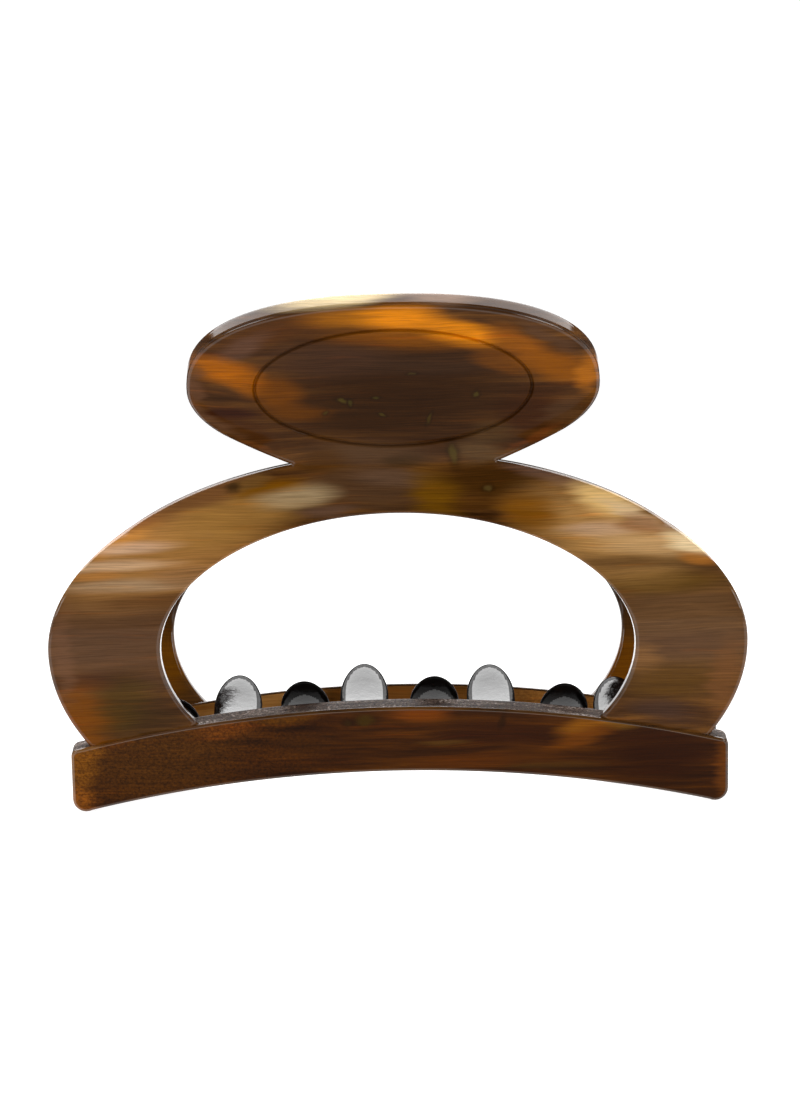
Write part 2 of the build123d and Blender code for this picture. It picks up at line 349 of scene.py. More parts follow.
def plate(name, surface, loops, free, round_radius, spacing, extra=None, sink=None, wall_slot=0,
          edge_slot=0):
    """Closed mesh of a plate. The first loop runs anticlockwise, holes clockwise. Free edges
    are rounded; the others are seats against another piece. sink adds depth to the outer face."""
    offsets = [round_radius * share for share in (0.06, 0.2, 0.42, 0.7, 1.0)]
    offsets.append(round_radius + spacing * 0.45)
    points = points_within(loops, free, offsets, round_radius, spacing, extra)
    flat, triangles = triangulate(loops, points)
    starts = np.concatenate(loops)
    ends = np.concatenate([np.roll(loop, -1, 0) for loop in loops])
    is_free = np.concatenate(free)
    gap = np.clip(distance(flat, starts[is_free], ends[is_free]), 0, round_radius)
    edge_depth = round_radius - np.sqrt(np.maximum(0, round_radius**2 - (round_radius - gap) ** 2))
    outer_depth = edge_depth + (sink(flat) if sink else 0)
    inner_depth = surface.thickness(flat) - edge_depth

    bm = bmesh.new()
    top = [bm.verts.new(p * MM) for p in surface.place(flat, outer_depth)]
    bottom = [bm.verts.new(p * MM) for p in surface.place(flat, inner_depth)]
    rim = rim_of(triangles)
    walls = {}
    for p in {p for edge in rim for p in edge}:
        column = [top[p]]
        for row in range(1, WALL_ROWS):
            depth = outer_depth[p] + row / WALL_ROWS * (inner_depth[p] - outer_depth[p])
            spot = surface.place(flat[p : p + 1], np.array([depth]))[0]
            column.append(bm.verts.new(spot * MM))
        walls[p] = column + [bottom[p]]
    for tri in triangles:
        slot = edge_slot if gap[tri].mean() < 0.95 * round_radius else 0
        bm.faces.new([top[k] for k in tri]).material_index = slot
        bm.faces.new([bottom[k] for k in tri[::-1]]).material_index = slot
    for p, q in rim:
        for row in range(WALL_ROWS):
            wall = [walls[q][row], walls[p][row], walls[p][row + 1], walls[q][row + 1]]
            bm.faces.new(wall).material_index = wall_slot
    bmesh.ops.delete(bm, geom=[v for v in bm.verts if not v.link_faces], context="VERTS")
    return finished(name, bm)


def new_piece(name, mesh):
    piece = bpy.data.objects.new(name, mesh)
    bpy.context.scene.collection.objects.link(piece)
    return piece


def turned(name, piece):
    """The same piece turned half a turn about the vertical axis, as its own mesh."""
    mesh = piece.data.copy()
    mesh.name = name
    places = np.empty(len(mesh.vertices) * 3)
    mesh.vertices.foreach_get("co", places)
    places = places.reshape(-1, 3) * np.array([-1, -1, 1])
    mesh.vertices.foreach_set("co", places.ravel())
    mesh.update()
    return new_piece(name, mesh)


# ---------------------------------------------------------------- lofted pieces

def loft(name, sections, cap_start, cap_end):
    """Mesh through closed sections, with a point or a flat cap at each end."""
    bm = bmesh.new()
    rows = [[bm.verts.new(p * MM) for p in section] for section in sections]
    count = len(rows[0])
    for one, two in zip(rows, rows[1:]):
        for k in range(count):
            bm.faces.new([one[k], one[(k + 1) % count], two[(k + 1) % count], two[k]])
    for row, spot, reverse in ((rows[0], cap_start, True), (rows[-1], cap_end, False)):
        tip = bm.verts.new(np.asarray(spot) * MM)
        for k in range(count):
            face = [row[k], row[(k + 1) % count], tip]
            bm.faces.new(face[::-1] if reverse else face)
    return finished(name, bm)


# ---------------------------------------------------------------- jaws

SEAT_OVERLAP = 0.05      # the legs reach this far into the bar's top
OUTLINE_STEP = 0.75
EDGE_ROUND = 0.45
GROOVE_HALF = 0.26
GROOVE_DEPTH = 0.42
LIP_WIDTH = 0.65         # the groove's edges are buffed off
LIP_DEPTH = 0.12
PILLOW_WIDTH = 1.7       # the handle's face falls away a little towards its rim
PILLOW_DEPTH = 0.3
DISH_DEPTH = 0.4         # the thumb pad inside the groove is slightly hollow


def bar_drop(x):
    """How far the arched bar has fallen away from its middle, measured in its own plane."""
    return BAR_ARCH_RADIUS - np.sqrt(BAR_ARCH_RADIUS**2 - x**2)


def bar_top_at(x, y):
    """Height of the bar's arched top face."""
    return BAR_TOP_Z - bar_drop(x) / cos(BAR_LEAN) + (y - BAR_FRONT_Y) * tan(BAR_LEAN)


def half_oval(half_width, rise, drop):
    """Right-hand side of an oval made of two half ellipses, from its bottom to its top, (x, z)."""
    angles = np.linspace(-pi / 2, pi / 2, 1441)
    heights = np.where(angles > 0, rise, drop) * np.sin(angles)
    return np.stack([half_width * np.cos(angles), ARCH_MID_Z + heights], 1)


def leg_side(sheet, half_width, rise, drop):
    """The same on the flattened sheet, cut off where it meets the bar's top face."""
    side = half_oval(half_width, rise, drop)
    above = side[:, 1] - bar_top_at(side[:, 0], sheet.face_y(side[:, 1]))
    first = np.argmax((above > 0) & (side[:, 0] > half_width * 0.5))
    share = above[first] / (above[first] - above[first - 1])
    cut = side[first] + share * (side[first - 1] - side[first])
    side = np.concatenate([[cut], side[first:]])
    return np.stack([side[:, 0], sheet.at_height(side[:, 1])], 1)


def handle_side(sheet):
    """Right-hand side of the oval handle on the flattened sheet, from its bottom to its top."""
    angles = np.linspace(-pi / 2, pi / 2, 2001)
    power = np.where(angles > 0, HANDLE_UP_POWER, HANDLE_DOWN_POWER)
    reach = np.where(angles > 0, HANDLE_UP, HANDLE_DOWN)
    x = np.abs(np.cos(angles)) ** (2 / power) * HANDLE_HALF_WIDTH
    along = np.sign(np.sin(angles)) * np.abs(np.sin(angles)) ** (2 / power) * reach
    return np.stack([x, sheet.at_handle(along)], 1)


def jaw_outline(sheet, step):
    """Closed outline of the jaw on the flattened sheet, and which of its edges are free."""
    arch = leg_side(sheet, ARCH_HALF_WIDTH, ARCH_RISE, ARCH_DROP)
    handle = handle_side(sheet)
    shoulder = arch[:, 1] > sheet.at_height(ARCH_MID_Z)
    arch_x, arch_s = arch[shoulder][::-1].T
    lower = handle[:, 1] < sheet.pad
    gap = np.interp(handle[lower][:, 0], arch_x, arch_s) - handle[lower][:, 1]
    crossing = np.argmax(gap < 0)
    notch = handle[crossing]
    arch_part = np.concatenate([arch[arch[:, 0] > notch[0]], [notch]])
    handle_part = handle[crossing:]
    right = np.concatenate([resample(arch_part, step)[:-1], resample(handle_part, step)])
    window = resample(leg_side(sheet, WINDOW_HALF_WIDTH, WINDOW_RISE, WINDOW_DROP), step)
    xs = np.linspace(window[0, 0], right[0, 0], 12)
    heights = np.linspace(window[0, 1], right[0, 1], 12)
    for _ in range(20):
        z = np.interp(heights, sheet.run, sheet.z)
        heights = sheet.at_height(bar_top_at(xs, sheet.face_y(z)))
    seat = np.stack([xs, heights - SEAT_OVERLAP], 1)[1:-1]
    # anticlockwise: up the right side, down the left, in along the left leg's foot, over the
    # window, and out along the right leg's foot
    runs = [
        (right[:-1], True),
        (mirrored(right), True),
        (mirrored(seat), False),
        (mirrored(window)[::-1][:-1], True),
        (window[::-1], True),
        (seat, False),
    ]
    loop = np.concatenate([points for points, _ in runs])
    flags = np.concatenate([np.full(len(points), flag) for points, flag in runs])
    # a flag speaks for the edge that leaves its point, so it is off where an edge enters a seat
    flags[2 * len(right) - 2] = False
    flags[len(loop) - len(seat) - 1] = False
    return loop, flags


def ellipse_points(offset, count, centre):
    """Points at an offset outwards from the pad's groove line."""
    angles = np.linspace(0, 2 * pi, count, endpoint=False)
    x, y = PAD_HALF_WIDTH * np.cos(angles), PAD_HALF_HEIGHT * np.sin(angles)
    nx, ny = np.cos(angles) / PAD_HALF_WIDTH, np.sin(angles) / PAD_HALF_HEIGHT
    length = np.hypot(nx, ny)
    return np.stack([x + offset * nx / length, centre + y + offset * ny / length], 1)


def make_jaws():
    sheet = Sheet()
    loop, free = jaw_outline(sheet, OUTLINE_STEP)
    steps = (0.06, 0.16, 0.26, 0.38, 0.7)
    offsets = [-step for step in steps[::-1]] + list(steps)
    groove = np.concatenate([ellipse_points(offset, 200, sheet.pad) for offset in offsets])
    line = ellipse_points(0, 600, sheet.pad)
    handle = np.concatenate([handle_side(sheet), mirrored(handle_side(sheet))])[::12]

    def sink(points):
        away = distance(points, line, np.roll(line, -1, 0))
        cut = GROOVE_DEPTH * np.sqrt(np.clip(1 - (away / GROOVE_HALF) ** 2, 0, 1))
        cut += LIP_DEPTH * np.clip(1 - away / LIP_WIDTH, 0, 1) ** 1.5
        near_rim = distance(points, handle[:-1], handle[1:])
        fall = np.clip(1 - near_rim / PILLOW_WIDTH, 0, 1) ** 1.5 * PILLOW_DEPTH
        on_handle = np.clip((points[:, 1] - sheet.at_height(46)) / 3, 0, 1)
        across = points[:, 0] / PAD_HALF_WIDTH
        upwards = (points[:, 1] - sheet.pad) / PAD_HALF_HEIGHT
        dish = DISH_DEPTH * np.clip(1 - across**2 - upwards**2, 0, 1)
        return cut + dish + fall * on_handle * inside(points, handle)

    front = plate("front_jaw_shell", sheet, [loop], [free], EDGE_ROUND, 1.15, groove, sink, 1, 2)
    back = turned("back_jaw_shell", front)
    return front, back


# ---------------------------------------------------------------- tooth bars

BAR_OUTLINE_STEP = 0.8
BAR_EDGE_ROUND = 0.38


def bar_outline(step):
    """Closed outline of the bar in its own plane, anticlockwise from the bottom left corner."""
    foot_x = np.linspace(0, BAR_HALF - BAR_BOTTOM_CORNER, 200)
    head_x = np.linspace(0, BAR_HALF - BAR_TOP_CORNER, 200)
    foot = np.stack([foot_x, -bar_drop(foot_x) - BAR_HEIGHT], 1)
    head = np.stack([head_x, -bar_drop(head_x)], 1)
    slope = asin((BAR_HALF - BAR_TOP_CORNER) / BAR_ARCH_RADIUS)
    low = foot[-1] + BAR_BOTTOM_CORNER * np.array([0, 1])
    high = head[-1] - BAR_TOP_CORNER * np.array([0, 1])
    round_low = arc_points(low, BAR_BOTTOM_CORNER, -pi / 2 - slope, 0, 8)
    round_high = arc_points(high, BAR_TOP_CORNER, 0, pi / 2 - slope, 7)
    side = resample(np.array([round_low[-1], round_high[0]]), step)[1:-1]
    right = np.concatenate([
        resample(foot, step)[:-1], round_low, side, round_high, resample(head[::-1], step)[1:]
    ])
    return np.concatenate([right[:-1], mirrored(right)[:-1]])


def make_bars():
    surface = Flat((BAR_FRONT_Y, BAR_TOP_Z), BAR_LEAN, BAR_THICKNESS)
    loop = bar_outline(BAR_OUTLINE_STEP)
    free = np.full(len(loop), True)
    front = plate("front_bar_strip", surface, [loop], [free], BAR_EDGE_ROUND, 1.2, wall_slot=1,
                  edge_slot=2)
    back = turned("back_bar_strip", front)
    return front, back


# ---------------------------------------------------------------- teeth

TOOTH_ROOT = (-11.2, 8.85)
TOOTH_TIP = (10.65, 16.6)
TOOTH_THICKNESS = (2.6, 1.5)
TOOTH_NOSE = 6.5
TIP_ROUND = 0.6          # share of the nose's length over which the thickness rounds off
SECTION_POINTS = 64
RIM_START = 0.77         # share of the way from the middle to the edge where the dull rim starts


def make_tooth(name, node):
    """Curved tongue, seated on its bar's inner face, with a rounded nose and a duller rim."""
    low, high = node_box(node)
    x = (low[0] + high[0]) / 2
    half_width = (high[0] - low[0]) / 2
    reach = TOOTH_TIP[0] - TOOTH_ROOT[0]
    rise = TOOTH_TIP[1] - TOOTH_ROOT[1]
    radius = (reach**2 + rise**2) / (2 * rise)
    drop = bar_drop(x) * cos(BAR_LEAN)
    end_slope = asin((high[1] - TOOTH_ROOT[0] - 0.6) / radius)
    nose_share = 1 - TOOTH_NOSE / (reach * 1.02)
    angles = np.linspace(0, 2 * pi, SECTION_POINTS, endpoint=False)

    def middle(slope):
        return np.array([TOOTH_ROOT[0] + radius * sin(slope),
                         TOOTH_ROOT[1] + radius * (1 - cos(slope)) - drop])

    def into_nose(share):
        return max(0.0, (share - nose_share) / (1 - nose_share))

    # sections get closer together towards the nose
    shaft = np.linspace(0.0, 0.6, 24)[:-1]
    nose = 0.6 + 0.4 * np.sin(np.linspace(0, pi / 2, 46))
    sections = []
    for share in np.concatenate([shaft, nose[:-1]]):
        slope = share * end_slope
        thick = TOOTH_THICKNESS[0] + share * (TOOTH_THICKNESS[1] - TOOTH_THICKNESS[0])
        into_tip = max(0.0, 1 - (1 - into_nose(share)) / TIP_ROUND)
        across = half_width * sqrt(max(0.0, 1 - into_nose(share) ** 2)) * np.cos(angles)
        up = thick / 2 * sqrt(max(0.0, 1 - into_tip**2)) * np.sin(angles)
        yz = middle(slope) + up[:, None] * np.array([-sin(slope), cos(slope)])
        sections.append(np.stack([x + across, yz[:, 0], yz[:, 1]], 1))
    tongue = loft(name, sections, sections[0].mean(0), (x, *middle(end_slope)))
    for face in tongue.data.polygons:
        place = np.array(face.center) / MM
        share = asin(min(1.0, max(0.0, (place[1] - TOOTH_ROOT[0]) / radius))) / end_slope
        from_middle = hypot((place[0] - x) / half_width, into_nose(share))
        face.material_index = 1 if from_middle > RIM_START else 0
    return tongue


# ---------------------------------------------------------------- hinge

KNUCKLE_RADIUS = 2.45
KNUCKLE_EDGE_ROUND = 0.22
PIN_DOME = 0.35
BORE_CLEARANCE = 0.06
PIN_RADIUS = (pin_high[2] - pin_low[2]) / 2


def make_knuckle(name, node, bore):
    """Barrel round the pin with a web to the neck's inner face, edges rounded."""
    low, high = node_box(node)
    back = high[1] > KNUCKLE_RADIUS + 0.1
    side = 1 if back else -1
    reach = high[1] if back else -low[1]
    length = high[0] - low[0]
    angles = np.linspace(-pi / 2, pi / 2, 25)
    nose = np.stack([KNUCKLE_RADIUS * np.cos(angles), KNUCKLE_RADIUS * np.sin(angles)], 1)
    web_top = resample([nose[-1], (-reach, KNUCKLE_RADIUS)], 0.5)[1:]
    web_end = resample([web_top[-1], (-reach, -KNUCKLE_RADIUS)], 0.5)[1:]
    web_low = resample([web_end[-1], nose[0]], 0.5)[1:-1]
    outer = np.concatenate([nose, web_top, web_end, web_low])
    turn = np.linspace(0, -2 * pi, 40, endpoint=False)
    hole = np.stack([bore * np.cos(turn), bore * np.sin(turn)], 1)

    class Barrel:
        def thickness(self, points):
            return np.full(len(points), length)

        def place(self, points, depth):
            return np.stack([low[0] + depth, -side * points[:, 0], NECK_Z + points[:, 1]], 1)

    free = [np.full(len(outer), True), np.full(len(hole), True)]
    return plate(name, Barrel(), [outer, hole], free, KNUCKLE_EDGE_ROUND, 0.5)


def make_pin():
    """Round pin with domed ends."""
    half = pin_high[0]
    angles = np.linspace(0, 2 * pi, 40, endpoint=False)
    left = []
    for turn in np.linspace(0.12, pi / 2, 8):
        fall = PIN_DOME * (1 - sin(turn))
        left.append((-half + fall, PIN_RADIUS - fall))
    rows = left + [(x, PIN_RADIUS) for x in np.linspace(-half + 2, half - 2, 14)]
    rows += [(-x, r) for x, r in left[::-1]]
    sections = [
        np.stack([np.full(40, x), r * np.cos(angles), NECK_Z + r * np.sin(angles)], 1)
        for x, r in rows
    ]
    return loft("hinge_pin_steel", sections, (-half, 0, NECK_Z), (half, 0, NECK_Z))


WIRE_RADIUS = 0.4
COIL_RADIUS = 1.9
COIL_FULL_TURNS = 11
COIL_PITCH = 0.85
SPRING_LEG = 10.0
SPRING_BEND = 0.8
SPRING_FOOT = 1.0
SPRING_GAP = 0.1


def spring_line():
    """Points along the wire: foot, bend, leg, coil, leg, bend, foot."""
    face = (NECK_RADIUS - NECK_Y) * cos(HANDLE_LEAN) - NECK_RADIUS - SHEET
    reach = hypot(COIL_RADIUS, SPRING_LEG)
    angle = HANDLE_LEAN + acos((WIRE_RADIUS + SPRING_GAP - face) / reach) - atan(
        SPRING_LEG / COIL_RADIUS)
    turns = COIL_FULL_TURNS + (pi + 2 * angle) / (2 * pi)
    length = turns * COIL_PITCH
    count = int(turns * 48)
    shares = np.linspace(0, 1, count)
    # the coil starts on the side of the front handle and is left-handed
    around = angle - shares * turns * 2 * pi
    coil = np.stack([
        -length / 2 + shares * length,
        COIL_RADIUS * np.cos(around),
        NECK_Z + COIL_RADIUS * np.sin(around),
    ], 1)
    way = coil[0] - coil[1]
    way /= np.linalg.norm(way)
    sideways = np.array([1.0, 0, 0]) - way * way[0]
    sideways /= np.linalg.norm(sideways)
    start = coil[0] + way * (SPRING_LEG - SPRING_BEND)
    leg = [coil[0] + way * reach for reach in np.linspace(SPRING_LEG - SPRING_BEND, 0, 14)][:-1]
    centre = start + sideways * SPRING_BEND
    bend = [
        centre - sideways * SPRING_BEND * cos(a) + way * SPRING_BEND * sin(a)
        for a in np.linspace(pi / 2, 0, 9)
    ][:-1]
    foot = [bend[0] + sideways * reach for reach in np.linspace(SPRING_FOOT, 0, 5)][:-1]
    head = np.array(foot + bend + leg)
    tail = head[::-1] * np.array([-1, -1, 1])
    return np.concatenate([head, coil, tail])


def tube(name, line, radius, around):
    """Round wire along a line, its frame carried along without twist, with rounded ends."""
    ways = np.gradient(line, axis=0)
    ways /= np.linalg.norm(ways, axis=1)[:, None]
    normal = np.cross(ways[0], (0.3, 0.1, 1.0))
    sections = []
    angles = np.linspace(0, 2 * pi, around, endpoint=False)
    for spot, way in zip(line, ways):
        normal = normal - way * (normal @ way)
        normal /= np.linalg.norm(normal)
        other = np.cross(way, normal)
        ring = spot + radius * (np.outer(np.cos(angles), normal) + np.outer(np.sin(angles), other))
        sections.append(ring)
    caps = []
    for end, inward in ((0, 1), (-1, -1)):
        dome = ways[end] * inward * radius * 0.5
        ring = sections[end]
        caps.append([line[end] + (ring - line[end]) * cos(a) + dome * (1 - sin(a))
                     for a in (1.2, 0.8, 0.4, 0.0)])
    return loft(name, caps[0] + sections[1:-1] + caps[1][::-1], line[0], line[-1])


# ---------------------------------------------------------------- build the pieces

front_jaw, back_jaw = make_jaws()
front_bar, back_bar = make_bars()
for piece, node, body, slot in (
    (front_jaw, "front_jaw", FRONT, "horn_acetate"),
    (back_jaw, "back_jaw", BACK, "horn_acetate"),
    (front_bar, "front_tooth_bar", FRONT, "bar_acetate"),
    (back_bar, "back_tooth_bar", BACK, "bar_acetate"),
):
    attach(piece, body)
    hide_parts(node)

teeth = []
for number in range(1, 6):
    front_tooth = make_tooth(f"front_tooth_{number}_tongue", f"front_tooth_{number}")
    opposite = turned(f"back_tooth_{number}_tongue", front_tooth)
    for piece, side, body in ((front_tooth, "front", FRONT), (opposite, "back", BACK)):
        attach(piece, body)
        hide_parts(f"{side}_tooth_{number}")
        teeth.append(piece)

knuckles = []
for side, body, bore in (("front", FRONT, PIN_RADIUS), ("back", BACK, PIN_RADIUS + BORE_CLEARANCE)):
    for end in ("left", "right"):
        node = f"{side}_knuckle_{end}"
        piece = make_knuckle(f"{node}_barrel", node, bore)
        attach(piece, body)
        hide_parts(node)
        knuckles.append(piece)

pin = make_pin()
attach(pin, FRONT)
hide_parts("hinge_pin")

spring = tube("torsion_spring_wire", spring_line(), WIRE_RADIUS, 14)
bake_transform(spring)
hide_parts("torsion_spring")


# ---------------------------------------------------------------- materials

def linear(code):
    """Linear colour from a hex code."""
    channels = [int(code[k : k + 2], 16) / 255 for k in (0, 2, 4)]
    return [c / 12.92 if c <= 0.04045 else ((c + 0.055) / 1.055) ** 2.4 for c in channels] + [1]


class Nodes:
    """Adds nodes to one tree. Values may be sockets, which are linked, or plain values."""

    def __init__(self, tree):
        self.tree = tree

    def add(self, kind, **inputs):
        """New node; lower-case names are its settings and the others its inputs."""
        node = self.tree.nodes.new(kind)
        for key, value in inputs.items():
            if key[0].islower():
                setattr(node, key, value)
            else:
                self.feed(node, key.replace("_", " "), value)
        return node

    def feed(self, node, key, value):
        """Link or set one input, found by its name or number."""
        if isinstance(value, bpy.types.NodeSocket):
            self.tree.links.new(value, node.inputs[key])
        else:
            node.inputs[key].default_value = value

    def maths(self, operation, *values):
        node = self.add("ShaderNodeMath", operation=operation)
        for index, value in enumerate(values):
            self.feed(node, index, value)
        return node.outputs[0]

    def vector(self, operation, *values):
        node = self.add("ShaderNodeVectorMath", operation=operation)
        for index, value in enumerate(values):
            self.feed(node, index, value)
        return node.outputs["Value" if operation in ("DOT_PRODUCT", "LENGTH") else "Vector"]

    def span(self, value, low, high, to_low=0.0, to_high=1.0, smooth=True):
        """Map one range of a number to another, with an S curve or straight."""
        curve = "SMOOTHSTEP" if smooth else "LINEAR"
        return self.add("ShaderNodeMapRange", interpolation_type=curve, Value=value, From_Min=low,
                        From_Max=high, To_Min=to_low, To_Max=to_high).outputs[0]

    def mix(self, factor, under, over, blend="MIX"):
        node = self.add("ShaderNodeMix", data_type="RGBA", blend_type=blend)
        for index, value in ((0, factor), (6, under), (7, over)):
            self.feed(node, index, value)
        return node.outputs[2]


def make_oval_group():
    """Node group that mixes one soft oval of colour into another colour."""
    group = bpy.data.node_groups.new("oval", "ShaderNodeTree")
    sockets = (("Under", "Color"), ("Place", "Vector"), ("Weight", "Float"), ("Centre", "Vector"),
               ("Across", "Vector"), ("Upwards", "Vector"), ("Oval", "Color"), ("Strength", "Float"))
    for name, kind in sockets:
        group.interface.new_socket(name, in_out="INPUT", socket_type=f"NodeSocket{kind}")
    group.interface.new_socket("Colour", in_out="OUTPUT", socket_type="NodeSocketColor")
    nodes = Nodes(group)
    given = nodes.add("NodeGroupInput").outputs
    offset = nodes.vector("SUBTRACT", given["Place"], given["Centre"])
    local = nodes.add(
        "ShaderNodeCombineXYZ",
        X=nodes.vector("DOT_PRODUCT", offset, given["Across"]),
        Y=nodes.vector("DOT_PRODUCT", offset, given["Upwards"]),
    ).outputs[0]
    fade = nodes.span(nodes.vector("LENGTH", local), 1.4, 0.35)
    share = nodes.maths("MULTIPLY", nodes.maths("MULTIPLY", fade, given["Weight"]), given["Strength"])
    nodes.add("NodeGroupOutput", Colour=nodes.mix(share, given["Under"], given["Oval"]))
    return group


oval_group = make_oval_group()


class Shade(Nodes):
    """Builds one node material. Its positions are in millimetres in the frame."""

    def __init__(self, name, half_turn=False):
        self.material = bpy.data.materials.new(name)
        self.material.use_nodes = True
        super().__init__(self.material.node_tree)
        self.shader = self.tree.nodes["Principled BSDF"]
        metres = self.add("ShaderNodeTexCoord").outputs["Object"]
        self.place = self.add("ShaderNodeMapping", Vector=metres, Scale=[1 / MM] * 3,
                              Rotation=(0, 0, pi if half_turn else 0)).outputs[0]

    def give(self, **values):
        """Link or set the shader's own inputs, and return the finished material."""
        for key, value in values.items():
            self.feed(self.shader, key.replace("_", " "), value)
        return self.material

    def noise(self, place, sizes, detail=3.0, roughness=0.5, colour=False):
        """Noise whose features have about these sizes in millimetres."""
        scaled = self.vector("MULTIPLY", place, [1 / size for size in sizes])
        node = self.add("ShaderNodeTexNoise", Vector=scaled, Scale=1.0, Detail=detail,
                        Roughness=roughness)
        return node.outputs["Color" if colour else "Fac"]

    def wander(self, place, sizes, detail, reach):
        """Noise vector that swings by half the reach to either side of zero."""
        noise = self.noise(place, sizes, detail, colour=True)
        return self.vector("MULTIPLY_ADD", noise, reach, [-width / 2 for width in reach])

    def ramp(self, factor, stops):
        """Colour ramp; stops are (position, hex code)."""
        node = self.add("ShaderNodeValToRGB", Fac=factor)
        elements = node.color_ramp.elements
        while len(elements) < len(stops):
            elements.new(0.5)
        for element, (position, code) in zip(elements, stops):
            element.position = position
            element.color = linear(code)
        return node.outputs[0]

    def brighten(self, colour, by):
        """Multiply a colour by a number that varies from place to place."""
        grey = self.add("ShaderNodeCombineColor", Red=by, Green=by, Blue=by).outputs[0]
        return self.mix(1.0, colour, grey, "MULTIPLY")

    def oval(self, colour, place, weight, x, z, half_x, half_z, tilt, code, strength):
        """Lay a soft tilted oval of a colour over another, the same at every depth."""
        tilt = radians(tilt)
        across = (cos(tilt) / half_x, 0, sin(tilt) / half_x)
        upwards = (-sin(tilt) / half_z, 0, cos(tilt) / half_z)
        return self.add("ShaderNodeGroup", node_tree=oval_group, Under=colour, Place=place,
                        Weight=weight, Centre=(x, 0, z), Across=across, Upwards=upwards,
                        Oval=linear(code), Strength=strength).outputs[0]

    def bump(self, height, strength, distance):
        """Normal from a height; the distance is in millimetres."""
        return self.add("ShaderNodeBump", Height=height, Strength=strength,
                        Distance=distance * MM).outputs[0]


